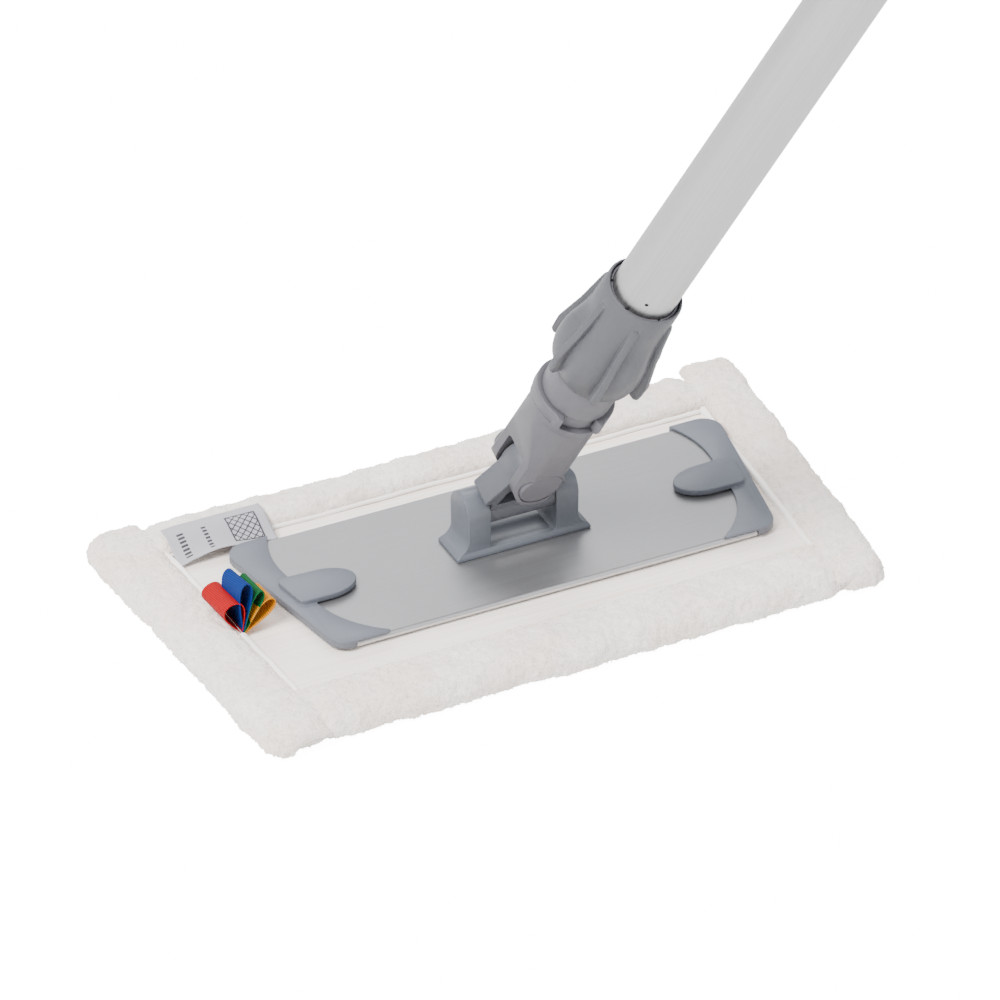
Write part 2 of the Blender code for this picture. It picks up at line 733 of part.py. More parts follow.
def make_sleeve(swing):
    """Socket for the tube: a spigot in the fork, a grooved collar and six collet fingers."""
    bore = TUBE_RADIUS + GAP
    groove = SLEEVE_RADIUS - 1.0 * MM
    top = NUT_TOP - 1.0 * MM
    profile = [
        (0, 22.3 * MM), (SPIGOT_RADIUS, 22.3 * MM), (SPIGOT_RADIUS, HEAD_TOP + GAP),
        (groove, HEAD_TOP + GAP), (groove, RING_HIGH + GAP), (SLEEVE_RADIUS, RING_HIGH + GAP),
        (SLEEVE_RADIUS, top - 0.6 * MM), (SLEEVE_RADIUS - 0.6 * MM, top), (bore, top),
        (bore, TUBE_LOW - GAP), (0, TUBE_LOW - GAP),
    ]
    sleeve = node("neck_sleeve", lambda bm: turned(bm, profile, 48), GREY_FORK, swing)

    for k in range(3):
        angle = 30 + 60 * k
        cut(sleeve, f"sleeve_slit_{k + 1}", lambda bm, a=angle: blade(bm, a, top))


def blade(bm, degrees, top):
    """One blade through the sleeve, which makes two opposite slits."""
    long, half, deep = 20 * MM, 0.8 * MM, 30 * MM
    box(bm, -long, long, -half, half, top - deep, top + 2 * MM)
    turn = Matrix.Rotation(math.radians(degrees), 3, "Z")
    bmesh.ops.rotate(bm, matrix=turn, verts=bm.verts)


def nut_radius(angle, height):
    """Outer radius: plain at the top, six bulging lobes between the ribs lower down."""
    # height, radius in a valley and radius on a lobe, in millimetres
    stations = (
        (73, 18.0, 18.4), (76, 19.6, 20.6), (82, 21.2, 22.9), (90, 21.5, 23.8),
        (98, 20.6, 23.4), (106, 19.0, 21.0), (114, 18.5, 18.7), (131.6, 18.3, 18.3),
        (133, 17.6, 17.6),
    )
    rise, valley, lobe = (np.array(column) * MM for column in zip(*stations))
    share = 0.5 - 0.5 * math.cos(RIB_COUNT * angle)
    low, high = np.interp(height, rise, valley), np.interp(height, rise, lobe)
    return low + (high - low) * share


def make_nut(swing):
    """Clamp nut: lobed shell with six ribs, turned on the sleeve to grip the tube."""
    segments = 72
    heights = [73, 74.5, 77, 80, 84, 88, 92, 96, 100, 104, 108, 112, 116, 131.6, 133]

    def shell(bm):
        rows = []
        for height in heights:
            ring = []
            for k in range(segments):
                a = 2 * math.pi * k / segments
                r = nut_radius(a, height * MM)
                ring.append(bm.verts.new((r * math.cos(a), r * math.sin(a), height * MM)))
            rows.append(ring)
        for height in (NUT_TOP, NUT_LOW):
            ring = []
            for k in range(segments):
                a = 2 * math.pi * k / segments
                ring.append(bm.verts.new((NUT_BORE * math.cos(a), NUT_BORE * math.sin(a), height)))
            rows.append(ring)
        for i in range(len(rows)):
            lower, upper = rows[i - 1], rows[i]
            for k in range(segments):
                n = (k + 1) % segments
                bm.faces.new([lower[k], lower[n], upper[n], upper[k]])

    nut = node("clamp_nut", shell, GREY_FORK, swing)
    rib_view = [
        (17.5 * MM, 78 * MM), (23.4 * MM, 76.0 * MM), (25.2 * MM, 77.5 * MM), (25.6 * MM, 86 * MM),
        (22.2 * MM, 103 * MM), (19.6 * MM, 123 * MM), (18.9 * MM, 125 * MM), (17.5 * MM, 125 * MM),
    ]
    for k in range(RIB_COUNT):

        def rib(bm, k=k):
            prism(bm, rib_view, "Y", -RIB_THICK / 2, RIB_THICK / 2)
            turn = Matrix.Rotation(2 * math.pi * k / RIB_COUNT, 3, "Z")
            bmesh.ops.rotate(bm, matrix=turn, verts=bm.verts)

        bevel(cut(nut, f"nut_rib_{k + 1}", rib, "UNION"), 0.7 * MM, 2)


# ---------------------------------------------------------------- handle


def make_handle(swing):
    """Anodised tube with a moulded grip and a domed cap plugged into its far end."""
    top = TUBE_LOW + TUBE_LENGTH
    bore = TUBE_RADIUS - TUBE_WALL

    def tube(bm):
        turned(bm, [(bore, TUBE_LOW), (TUBE_RADIUS, TUBE_LOW), (TUBE_RADIUS, top), (bore, top)], 64)

    handle = node("handle_tube", tube, ((0.60, 0.60, 0.60), 0.34, 1.0), swing)

    def dimple(bm):
        rod(bm, 0.9 * MM, 10 * MM, 20 * MM, "X", 12)
        bmesh.ops.rotate(
            bm, matrix=Matrix.Rotation(math.radians(-126), 3, "Z"), verts=bm.verts
        )
        bmesh.ops.translate(bm, vec=(0, 0, NUT_TOP + 7 * MM), verts=bm.verts)

    cut(handle, "tube_hole", dimple)

    low = top - GRIP_LENGTH
    inner = TUBE_RADIUS + GAP
    grip_profile = [(inner, low), (17.0 * MM, low), (18.2 * MM, low + 3 * MM)]
    grip_profile += [
        (18.2 * MM - 0.7 * MM * math.sin(math.pi * t) ** 2, low + 3 * MM + t * (GRIP_LENGTH - 6 * MM))
        for t in np.linspace(0.1, 0.9, 9)
    ]
    grip_profile += [(18.2 * MM, top - 3 * MM), (17.0 * MM, top), (inner, top)]
    node("hand_grip", lambda bm: turned(bm, grip_profile, 40), GREY_FORK, swing)

    plug = bore - GAP
    cap_profile = [(0, top - 20 * MM), (plug, top - 20 * MM), (plug, top + GAP)]
    cap_profile += [(18.2 * MM, top + GAP), (18.2 * MM, top + 12 * MM)]
    cap_profile += [
        (18.2 * MM * math.cos(a), top + 12 * MM + 16 * MM * math.sin(a))
        for a in np.radians([20, 40, 60, 80])
    ]
    cap_profile += [(0, top + 28 * MM)]
    node("grip_cap", lambda bm: turned(bm, cap_profile, 40), GREY_FORK, swing)


def build():
    """Make every piece in the order it is assembled."""
    clear_scene()
    make_pad()
    make_tapes()
    make_label()
    make_loops()
    make_hook_strips()
    make_plate()
    make_caps()
    seat = frame("bracket_seat", (0, 0, PLATE_TOP + GAP))
    make_bracket(seat)
    make_hinge_pin(seat)
    tilt = frame("tilt_axis", (0, 0, PLATE_TOP + GAP + HINGE_HIGH), "X", LEAN)
    make_knuckle(tilt)
    swing = frame("swing_axis", (0, 0, PIN_LIFT), "Y", SWING, tilt)
    make_fork(swing)
    make_swing_pin(swing)
    make_ring(swing)
    make_sleeve(swing)
    make_nut(swing)
    make_handle(swing)


build()
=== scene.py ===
"""Looks of the flat mop: its textile pad, plate, swivel and handle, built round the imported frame."""
import json
import math

import bpy
import numpy as np
from mathutils import Matrix, Vector


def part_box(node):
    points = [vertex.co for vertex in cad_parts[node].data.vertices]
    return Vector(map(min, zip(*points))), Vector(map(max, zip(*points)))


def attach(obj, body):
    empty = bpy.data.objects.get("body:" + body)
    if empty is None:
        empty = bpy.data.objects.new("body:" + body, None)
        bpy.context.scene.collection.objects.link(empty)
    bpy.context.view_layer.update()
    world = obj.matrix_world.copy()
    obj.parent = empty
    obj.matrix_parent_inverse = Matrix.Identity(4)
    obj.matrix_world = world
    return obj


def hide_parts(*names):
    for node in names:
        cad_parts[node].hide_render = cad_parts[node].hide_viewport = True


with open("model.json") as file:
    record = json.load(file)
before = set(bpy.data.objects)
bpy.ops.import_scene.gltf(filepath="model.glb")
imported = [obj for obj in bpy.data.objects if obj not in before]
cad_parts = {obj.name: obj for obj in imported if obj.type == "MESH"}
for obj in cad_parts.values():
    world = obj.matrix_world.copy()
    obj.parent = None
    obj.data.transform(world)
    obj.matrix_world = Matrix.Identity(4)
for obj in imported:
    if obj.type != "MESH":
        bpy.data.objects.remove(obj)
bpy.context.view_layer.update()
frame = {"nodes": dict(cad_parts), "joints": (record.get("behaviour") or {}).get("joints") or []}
nodes = frame["nodes"]
MM = 0.001


# ---- Studio: a pale floor, a soft dome of light and a long lens from the front left
# The lens is long, so the mop shows almost no perspective.

def srgb(code):
    """Linear colour of an sRGB hex value: the inverse of the sRGB curve on each channel."""
    part = np.array([int(code[i:i + 2], 16) for i in (1, 3, 5)]) / 255
    linear = np.where(part <= 0.04045, part / 12.92, ((part + 0.055) / 1.055) ** 2.4)
    return (*(float(c) for c in linear), 1.0)


def add(tree, kind, inputs=None, **settings):
    """Adds one shader node, sets its properties, and sets or links its inputs."""
    made = tree.nodes.new(kind)
    for key, value in settings.items():
        setattr(made, key, value)
    for key, value in (inputs or {}).items():
        if isinstance(value, bpy.types.NodeSocket):
            tree.links.new(value, made.inputs[key])
        else:
            made.inputs[key].default_value = value
    return made


def relief(tree, height, strength, deep, **inputs):
    """A bump node that raises the shading by a height field, deep metres at its full height."""
    settings = {"Height": height, "Strength": strength, "Distance": deep, **inputs}
    return add(tree, "ShaderNodeBump", settings)


def finish_named(name):
    """A new material with an empty node tree and its output."""
    made = bpy.data.materials.new(name)
    made.use_nodes = True
    made.node_tree.nodes.clear()
    return made, made.node_tree, made.node_tree.nodes.new("ShaderNodeOutputMaterial")


AZIMUTH, ELEVATION = math.radians(-26.06), math.radians(34.05)
AWAY, SHOWN_WIDE = 4.5, 0.45224
toward = Vector((
    math.sin(AZIMUTH) * math.cos(ELEVATION),
    -math.cos(AZIMUTH) * math.cos(ELEVATION),
    math.sin(ELEVATION),
))
rightward = Vector((math.cos(AZIMUTH), math.sin(AZIMUTH), 0))
upward = toward.cross(rightward)
aim = rightward * -6.58 * MM + upward * 24.69 * MM
lens = bpy.data.cameras.new("camera")
lens.sensor_width = 36
lens.lens = 36 * AWAY / SHOWN_WIDE
lens.clip_end = 100
camera = bpy.data.objects.new("camera", lens)
camera.matrix_world = Matrix.Translation(aim + toward * AWAY) @ Matrix(
    (rightward, upward, toward)
).transposed().to_4x4()
bpy.context.collection.objects.link(camera)
bpy.context.scene.camera = camera

world = bpy.data.worlds.new("studio")
world.use_nodes = True
sky = world.node_tree.nodes["Background"]
ray = add(world.node_tree, "ShaderNodeTexCoord").outputs["Generated"]
height = add(world.node_tree, "ShaderNodeSeparateXYZ", {0: ray}).outputs["Z"]
dome = add(world.node_tree, "ShaderNodeMapRange", {
    "Value": height, "From Min": -0.1, "From Max": 0.9, "To Min": 0.48, "To Max": 1.5,
})
world.node_tree.links.new(dome.outputs["Result"], sky.inputs["Strength"])
sky.inputs["Color"].default_value = srgb("#fbfcff")
bpy.context.scene.world = world

for name, place, size, power in (
    ("key", (-2.4, -0.9, 3.2), 1.8, 350),
    ("fill", (2.8, -2.4, 1.8), 2.0, 36),
    ("back", (0.5, 3.0, 2.6), 2.4, 76),
):
    lamp = bpy.data.lights.new(name, "AREA")
    lamp.shape = "DISK"
    lamp.size = size
    lamp.energy = power
    holder = bpy.data.objects.new(name, lamp)
    holder.location = place
    holder.rotation_euler = (-Vector(place)).to_track_quat("-Z", "Y").to_euler()
    bpy.context.collection.objects.link(holder)

floor_mesh = bpy.data.meshes.new("floor")
FLOOR_HALF = 40.0
corners = [(-1, -1), (1, -1), (1, 1), (-1, 1)]
floor_mesh.from_pydata([(x * FLOOR_HALF, y * FLOOR_HALF, -0.2 * MM) for x, y in corners], [], [(0, 1, 2, 3)])
floor = bpy.data.objects.new("floor", floor_mesh)
bpy.context.collection.objects.link(floor)
floor_finish, tree, output = finish_named("matt white floor")
shade = add(tree, "ShaderNodeBsdfPrincipled", {"Base Color": srgb("#fafafa"), "Roughness": 0.9})
shade.inputs["Emission Color"].default_value = srgb("#ffffff")
seen = add(tree, "ShaderNodeLightPath").outputs["Is Camera Ray"]
bright = add(tree, "ShaderNodeMath", {0: seen, 1: 14.0}, operation="MULTIPLY")
tree.links.new(bright.outputs[0], shade.inputs["Emission Strength"])
tree.links.new(shade.outputs[0], output.inputs[0])
floor_mesh.materials.append(floor_finish)


# ---- Pad bands: four strips of plush microfibre round the edge of the pad
# The strips wrap over the pad's edge to the floor. The end strips lie over the ends of the
# front and rear ones, and the pile is clipped, so the surface is tufted and a little uneven.

PAD_TAPER = 10 * MM
EDGE_LOW, INNER_LOW = 2.6 * MM, 6.8 * MM
BAND_CROWN = 13.2 * MM
CORNER, CORNER_POWER, END_THIN = 11 * MM, 2.5, 0.06
UNDER = 17 * MM
CREASE, CREASE_WIDE = 0.22, 4 * MM


def waves(points, wavelength, seed, count=26):
    """A smooth random field: the sum of sine waves in random directions, about -1 to 1."""
    random = np.random.default_rng(seed)
    way = random.normal(size=(count, 3))
    way /= np.linalg.norm(way, axis=1)[:, None]
    length = wavelength * random.uniform(0.7, 1.5, count)
    phase = random.uniform(0, 2 * np.pi, count)
    total = np.zeros(points.shape[:-1])
    for k in range(count):
        total += np.sin(points @ way[k] * (2 * np.pi / length[k]) + phase[k])
    return total / np.sqrt(count * 2)


def surface(name, points, finish, around=False, capped=False, uv=None):
    """A mesh over a grid of points (rows, columns, 3): one quad for each cell of the grid.

    around joins the last column to the first, and capped closes the first and last row.
    """
    rows, columns = points.shape[:2]
    index = np.arange(rows * columns).reshape(rows, columns)
    right = np.roll(index, -1, axis=1) if around else index[:, 1:]
    left = index if around else index[:, :-1]
    quads = np.stack([left[:-1], right[:-1], right[1:], left[1:]], axis=-1).reshape(-1, 4)
    faces = quads.tolist()
    if capped:
        faces += [index[0][::-1].tolist(), index[-1].tolist()]
    mesh = bpy.data.meshes.new(name)
    mesh.from_pydata(points.reshape(-1, 3).tolist(), [], faces)
    mesh.polygons.foreach_set("use_smooth", np.full(len(faces), True))
    if uv is not None:
        layer = mesh.uv_layers.new(name="UVMap")
        corner = np.zeros(len(mesh.loops), np.int32)
        mesh.loops.foreach_get("vertex_index", corner)
        layer.data.foreach_set("uv", uv.reshape(-1, 2)[corner].ravel())
    mesh.materials.append(finish)
    made = bpy.data.objects.new(name, mesh)
    bpy.context.collection.objects.link(made)
    return made


def grid_normals(points):
    """Unit normals of a closed grid: the cross product of its two directions of difference."""
    along = np.gradient(points, axis=0)
    across = (np.roll(points, -1, axis=1) - np.roll(points, 1, axis=1)) / 2
    normal = np.cross(across, along)
    return normal / np.maximum(np.linalg.norm(normal, axis=2), 1e-12)[..., None]


def ramp(x):
    """Rises smoothly from 0 to 1 as x does."""
    x = np.clip(x, 0, 1)
    return x * x * (3 - 2 * x)


def plush_finish():
    """Cream microfibre pile: short clipped loops, so it scatters light softly, with a fine speckle of
    painted shade where the pile is low between the nubs, and faint warm patches where the pile lies over."""
    made, tree, output = finish_named("microfibre plush")
    place = add(tree, "ShaderNodeTexCoord").outputs["Object"]
    patch = add(tree, "ShaderNodeTexNoise", {"Vector": place, "Scale": 38, "Detail": 3})
    speck = add(tree, "ShaderNodeTexNoise", {"Vector": place, "Scale": 620, "Detail": 4, "Roughness": 0.65})
    tint = add(tree, "ShaderNodeValToRGB", {"Fac": patch.outputs["Fac"]})
    tint.color_ramp.elements[0].position = 0.36
    tint.color_ramp.elements[0].color = srgb("#f6e9de")
    tint.color_ramp.elements[1].position = 0.66
    tint.color_ramp.elements[1].color = srgb("#fff8f0")
    nubs = add(tree, "ShaderNodeTexNoise", {"Vector": place, "Scale": 330, "Detail": 2})
    pile = add(tree, "ShaderNodeMath", {0: speck.outputs["Fac"], 1: nubs.outputs["Fac"]}, operation="ADD")
    # Painted shade: the colour is darkened where the pile field is low, in the gaps between the nubs.
    painted_gap_shade = add(tree, "ShaderNodeMapRange", {
        "Value": pile.outputs[0], "From Min": 0.75, "From Max": 1.1, "To Min": 0.86, "To Max": 1.0,
    })
    colour = add(tree, "ShaderNodeMix", data_type="RGBA", blend_type="MULTIPLY")
    colour.inputs["Factor"].default_value = 1.0
    tree.links.new(tint.outputs["Color"], colour.inputs["A"])
    tree.links.new(painted_gap_shade.outputs["Result"], colour.inputs["B"])
    bump = relief(tree, pile.outputs[0], 0.8, 1.3 * MM)
    shade = add(tree, "ShaderNodeBsdfPrincipled", {
        "Base Color": colour.outputs["Result"], "Roughness": 0.95, "Normal": bump.outputs["Normal"],
        "Sheen Weight": 0.35, "Sheen Roughness": 0.5, "Specular IOR Level": 0.15,
    })
    tree.links.new(shade.outputs[0], output.inputs[0])
    return made


plush = plush_finish()


def band_section(columns):
    """Half-thickness outline of a band: a squarish ellipse whose base line climbs from the
    floor at the outer edge to the panel at the inner one. Returns across (0 to 1) and height."""
    angle = np.linspace(0, 2 * np.pi, columns, endpoint=False)
    c, s = np.cos(angle), np.sin(angle)
    across = 0.5 - 0.5 * np.sign(c) * np.abs(c) ** 0.72
    dome = np.sign(s) * np.abs(s) ** 0.72
    climb = ramp(across / 0.25)
    base = EDGE_LOW + (INNER_LOW - EDGE_LOW) * climb
    under = 2.0 * MM + 0.2 * MM * climb
    return across, base, np.where(dome > 0, (BAND_CROWN - base) * dome, under * dome)


def band(name, node, start, stop, inward, width, free_ends, bow, seed, rows, columns=110):
    """A plush strip: the section carried along its outer edge from start to stop.

    inward points from that edge into the pad. free_ends rounds and thins both ends as a
    superellipse; without it the strip dips a little where the end strips cross it. bow pulls
    the middle of the edge inward as a sine squared, and the surface is pushed out and in by the
    pile's waves.
    """
    across, base, height = band_section(columns)
    start, stop, inward = (np.array(v, float) for v in (start, stop, inward))
    length = np.linalg.norm(stop - start)
    along = np.linspace(0, 1, rows)
    if free_ends:
        along = 0.5 - 0.5 * np.cos(np.pi * along)
        along = 0.55 * along + 0.45 * np.linspace(0, 1, rows)
        from_end = np.minimum(along, 1 - along) * length
        full = np.clip(1 - np.clip(1 - from_end / CORNER, 0, 1) ** CORNER_POWER, 0, 1) ** (1 / CORNER_POWER)
        full = END_THIN + (1 - END_THIN) * full
    else:
        junction = np.minimum(along, 1 - along) * length - UNDER
        full = 1 - CREASE * np.exp(-(junction / CREASE_WIDE) ** 2)
    edge = start + (stop - start) * along[:, None]
    ripple = np.stack([along * length, np.zeros(rows), np.zeros(rows)], axis=1)
    wobble = 0.8 * MM * waves(ripple, 42 * MM, seed) + 0.35 * MM * waves(ripple, 13 * MM, seed + 1)
    shift = bow * np.sin(np.pi * along) ** 2 + wobble * np.minimum(1, full)
    inset = (1 - full) * CORNER * 0.9 + shift
    reach = width - inset
    plan = edge[:, None, :] + inward * (inset[:, None] + reach[:, None] * across)[..., None]
    lift = base + height * (full[:, None] ** 0.8)
    points = np.concatenate([plan[..., :2], lift[..., None]], axis=-1)
    normal = grid_normals(points)
    outward = np.einsum("ijk,ijk->ij", normal, points - points.mean(axis=1, keepdims=True))
    normal *= np.sign(outward.mean())
    pile = 0.5 * MM * waves(points, 14 * MM, seed + 2) + 0.32 * MM * waves(points, 4.6 * MM, seed + 3)
    pile += 0.26 * MM * np.abs(waves(points, 2.3 * MM, seed + 4))
    seam = ramp((1 - across) / 0.12)
    points = points + normal * (pile * (0.25 + 0.75 * seam))[..., None]
    points[..., 2] = np.maximum(points[..., 2], 0.35 * MM)
    if outward.mean() <= 0:
        points, normal = points[:, ::-1], normal[:, ::-1]
    made = surface(name, points, plush, around=True, capped=True)
    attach(made, "head")
    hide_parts(node)
    return points, normal


def tufts(name, points, normal, count, seed, keep):
    """Tips of pile: thin four-faced spikes at random grid points where keep is true, leaning
    at random."""
    random = np.random.default_rng(seed)
    at, out = points.reshape(-1, 3), normal.reshape(-1, 3)
    pick = random.integers(0, len(at), count)
    pick = pick[keep(at[pick])]
    root, out = at[pick], out[pick]
    jitter = random.normal(size=(len(pick), 3))
    lean = out + 0.55 * jitter
    lean /= np.linalg.norm(lean, axis=1)[:, None]
    side = np.cross(lean, random.normal(size=(len(pick), 3)))
    side /= np.linalg.norm(side, axis=1)[:, None]
    other = np.cross(lean, side)
    thick = random.uniform(0.25, 0.45, len(pick))[:, None] * MM
    tall = random.uniform(0.15, 0.65, len(pick))[:, None] * MM
    root = root + 0.4 * MM * jitter * (1 - np.abs(out)) - out * 0.35 * MM
    feet = [root + thick * (side * math.cos(a) + other * math.sin(a)) for a in (0, 2.1, 4.2)]
    tip = root + lean * (tall + 0.35 * MM)
    tip[:, 2] = np.maximum(tip[:, 2], 0.1 * MM)
    verts = np.stack([*feet, tip], axis=1)
    base = 4 * np.arange(len(pick))[:, None, None]
    faces = (base + np.array([[0, 1, 3], [1, 2, 3], [2, 0, 3], [2, 1, 0]])).reshape(-1, 3)
    mesh = bpy.data.meshes.new(name)
    mesh.from_pydata(verts.reshape(-1, 3).tolist(), [], faces.tolist())
    mesh.materials.append(plush)
    made = bpy.data.objects.new(name, mesh)
    bpy.context.collection.objects.link(made)
    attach(made, "head")


cloth_low, cloth_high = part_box("mop_cloth")
left_box, right_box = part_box("pad_band_left"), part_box("pad_band_right")
front_box, rear_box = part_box("pad_band_front"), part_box("pad_band_rear")
y_front, y_rear = cloth_low.y, cloth_high.y
x_left, x_right = cloth_low.x, cloth_high.x
LEFT_WIDE = left_box[1].x - (x_left + PAD_TAPER)
RIGHT_WIDE = (x_right - PAD_TAPER) - right_box[0].x
FRONT_WIDE = front_box[1].y - y_front
REAR_WIDE = y_rear - rear_box[0].y
slant = np.array([-PAD_TAPER, y_rear - y_front]) / math.hypot(PAD_TAPER, y_rear - y_front)
left_in, right_in = (slant[1], -slant[0], 0), (-slant[1], -slant[0], 0)

# The pad isn't quite square: the strips' ends stand up to a few millimetres off its outline.
pile_of = {}
pile_of["left"] = band(
    "plush_band_left", "pad_band_left",
    (x_left + PAD_TAPER + 1.5 * MM, y_front - 3.5 * MM, 0), (x_left + 1 * MM, y_rear, 0),
    left_in, LEFT_WIDE - 1 * MM, True, 0, 11, 250,
)
pile_of["right"] = band(
    "plush_band_right", "pad_band_right",
    (x_right - PAD_TAPER - 2.5 * MM, y_front + 2.5 * MM, 0), (x_right + 2.5 * MM, y_rear + 7.5 * MM, 0),
    right_in, RIGHT_WIDE, True, 0, 23, 250,
)
pile_of["front"] = band(
    "plush_band_front", "pad_band_front",
    (x_left + PAD_TAPER + LEFT_WIDE - UNDER, y_front + 0.5 * MM, 0),
    (x_right - PAD_TAPER - RIGHT_WIDE + UNDER, y_front + 2 * MM, 0),
    (0, 1, 0), FRONT_WIDE - 6 * MM, False, 0, 37, 330, 150,
)
pile_of["rear"] = band(
    "plush_band_rear", "pad_band_rear",
    (x_left + LEFT_WIDE - UNDER, y_rear - 1.5 * MM, 0),
    (x_right - RIGHT_WIDE + UNDER, y_rear + 2.5 * MM, 0),
    (0, -1, 0), REAR_WIDE, False, 3.6 * MM, 53, 330, 110,
)


def clear_of_loops(at):
    """False where the folded ribbons stand, so that no tip of pile pierces them."""
    near, far, reach = -19 * MM, 12 * MM, 9 * MM
    beside = (at[:, 0] > left_box[1].x - reach) & (at[:, 0] < 0)
    return ~(beside & (at[:, 1] > near) & (at[:, 1] < far))


for side, count in (("left", 16000), ("right", 16500), ("front", 26000), ("rear", 18000)):
    tufts("pile_tips_" + side, *pile_of[side], count, 100 + count, clear_of_loops)


# ---- Mop cloth: the working face under the pad, looped microfibre in rows
# It is stitched to the bands from behind, so only its rows of loops show from below.

CLOTH_MIDDLE, CLOTH_HALF, CLOTH_IN = 2.1 * MM, 1.8 * MM, 5.5 * MM
LOOP_ROW = 4.5 * MM


def cloth_piece():
    """A flat lens: a squarish ellipse across the pad, carried along it and closed at the ends.
    Its underside is raised by the absolute sine of its rows of loops."""
    columns, rows = 200, 240
    angle = np.linspace(0, 2 * np.pi, columns, endpoint=False)
    c, s = np.cos(angle), np.sin(angle)
    half_y = (y_rear - y_front) / 2 - CLOTH_IN
    middle_y = (y_rear + y_front) / 2
    y = middle_y + half_y * np.sign(c) * np.abs(c) ** 0.35
    z = CLOTH_MIDDLE + CLOTH_HALF * np.sign(s) * np.abs(s) ** 0.35
    along = 0.5 - 0.5 * np.cos(np.pi * np.linspace(0, 1, rows))
    share = (y - y_front) / (y_rear - y_front)
    reach = (1 - share) * PAD_TAPER + CLOTH_IN
    x0, x1 = x_left + reach, x_right - reach
    x = x0 + (x1 - x0) * along[:, None]
    full = np.clip(1 - np.abs(2 * along - 1) ** 60, 0, 1) ** 0.5
    rise = CLOTH_MIDDLE + (z - CLOTH_MIDDLE) * (0.1 + 0.9 * full[:, None])
    points = np.stack([x, np.broadcast_to(y, x.shape), rise], axis=-1)
    under = points[..., 2] < CLOTH_MIDDLE
    loops = np.abs(np.sin(points[..., 1] * np.pi / LOOP_ROW)) * 0.5 * MM
    loops += 0.3 * MM * waves(points, 3.5 * MM, 71)
    points[..., 2] += np.where(under, loops * full[:, None], 0)
    points[..., 2] = np.clip(points[..., 2], 0.1 * MM, 3.95 * MM)
    return points[:, ::-1]


cloth = surface("looped_mop_cloth", cloth_piece(), plush, around=True, capped=True)
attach(cloth, "head")
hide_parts("mop_cloth")


# ---- Backing panel: three strips of brushed loop fabric sewn side by side
# The hook strips under the plate grip it. Its fine lengthwise ribs catch the light.

def panel_finish():
    """Warm white polyester loop tape: knitted with lengthwise ribs about 1.2 mm apart and a
    flat seam between the strips, with a slight silky sheen."""
    made, tree, output = finish_named("knitted loop tape")
    place = add(tree, "ShaderNodeTexCoord").outputs["Object"]
    streak = add(tree, "ShaderNodeMapping", {"Vector": place, "Scale": (14, 620, 620)})
    lines = add(tree, "ShaderNodeTexNoise", {"Vector": streak.outputs[0], "Scale": 1.0, "Detail": 3})
    ribs = add(tree, "ShaderNodeTexWave", {"Vector": place, "Scale": 260, "Distortion": 0.6, "Detail": 1},
               bands_direction="Y")
    axis = add(tree, "ShaderNodeSeparateXYZ", {0: place})
    fold = add(tree, "ShaderNodeMath", {0: axis.outputs["Y"], 1: 39 * MM}, operation="PINGPONG")
    stitch = add(tree, "ShaderNodeMapRange", {
        "Value": fold.outputs[0], "From Min": 0.2 * MM, "From Max": 0.9 * MM, "To Min": 0.0, "To Max": 1.0,
    })
    tint = add(tree, "ShaderNodeValToRGB", {"Fac": lines.outputs["Fac"]})
    tint.color_ramp.elements[0].position = 0.3
    tint.color_ramp.elements[0].color = srgb("#efe3d8")
    tint.color_ramp.elements[1].position = 0.62
    tint.color_ramp.elements[1].color = srgb("#fbf2ea")
    colour = add(tree, "ShaderNodeMix", {"Factor": stitch.outputs["Result"]}, data_type="RGBA")
    colour.inputs["A"].default_value = srgb("#e4dcd4")
    tree.links.new(tint.outputs["Color"], colour.inputs["B"])
    knit = add(tree, "ShaderNodeMath", {0: ribs.outputs["Fac"], 1: lines.outputs["Fac"]}, operation="ADD")
    sewn = add(tree, "ShaderNodeMath", {0: knit.outputs[0], 1: stitch.outputs["Result"]}, operation="ADD")
    bump = relief(tree, sewn.outputs[0], 0.4, 0.35 * MM)
    shade = add(tree, "ShaderNodeBsdfPrincipled", {
        "Base Color": colour.outputs["Result"], "Roughness": 0.72, "Normal": bump.outputs["Normal"],
        "Sheen Weight": 0.2, "Sheen Roughness": 0.4, "Specular IOR Level": 0.3,
    })
    tree.links.new(shade.outputs[0], output.inputs[0])
    return made


def pad_end(side, y, inset):
    """X along the pad's left (-1) or right (1) end at a depth, inset from its edge."""
    share = (y - y_front) / (y_rear - y_front)
    if side < 0:
        return x_left + PAD_TAPER * (1 - share) + inset
    return x_right - PAD_TAPER * (1 - share) - inset


def seam(side, y, past=0.0):
    """X of an end band's inner seam, or of a line further in by a distance."""
    return pad_end(side, y, (LEFT_WIDE if side < 0 else RIGHT_WIDE) + past)


panel_low, panel_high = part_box("backing_panel")
PANEL_OUT, PANEL_TUCK = 8 * MM, 1 * MM
panel_deep = panel_high.y - panel_low.y + PANEL_OUT + PANEL_TUCK


def panel_piece():
    """A flat four-sided sheet: straight lines from one end seam to the other, tucked a little
    under the bands, with slow waves of a fraction of a millimetre."""
    down, across = np.meshgrid(np.linspace(0, 1, 70), np.linspace(0, 1, 160), indexing="ij")
    y = (panel_low.y - PANEL_OUT) + panel_deep * down
    x0, x1 = seam(-1, y, -PANEL_TUCK), seam(1, y, -PANEL_TUCK)
    points = np.stack([x0 + (x1 - x0) * across, y, 0 * down], axis=-1)
    points[..., 2] = panel_high.z - 0.25 * MM + 0.22 * MM * waves(points, 45 * MM, 5)
    return points


panel = surface("loop_panel", panel_piece(), panel_finish())
wall = panel.modifiers.new("cloth thickness", "SOLIDIFY")
wall.thickness = 1.6 * MM
wall.offset = -1
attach(panel, "head")
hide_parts("backing_panel")


# ---- Binding tape: folded satin tape sewn along the four inner seams
# It stands up as a narrow white piping at the foot of each plush band.

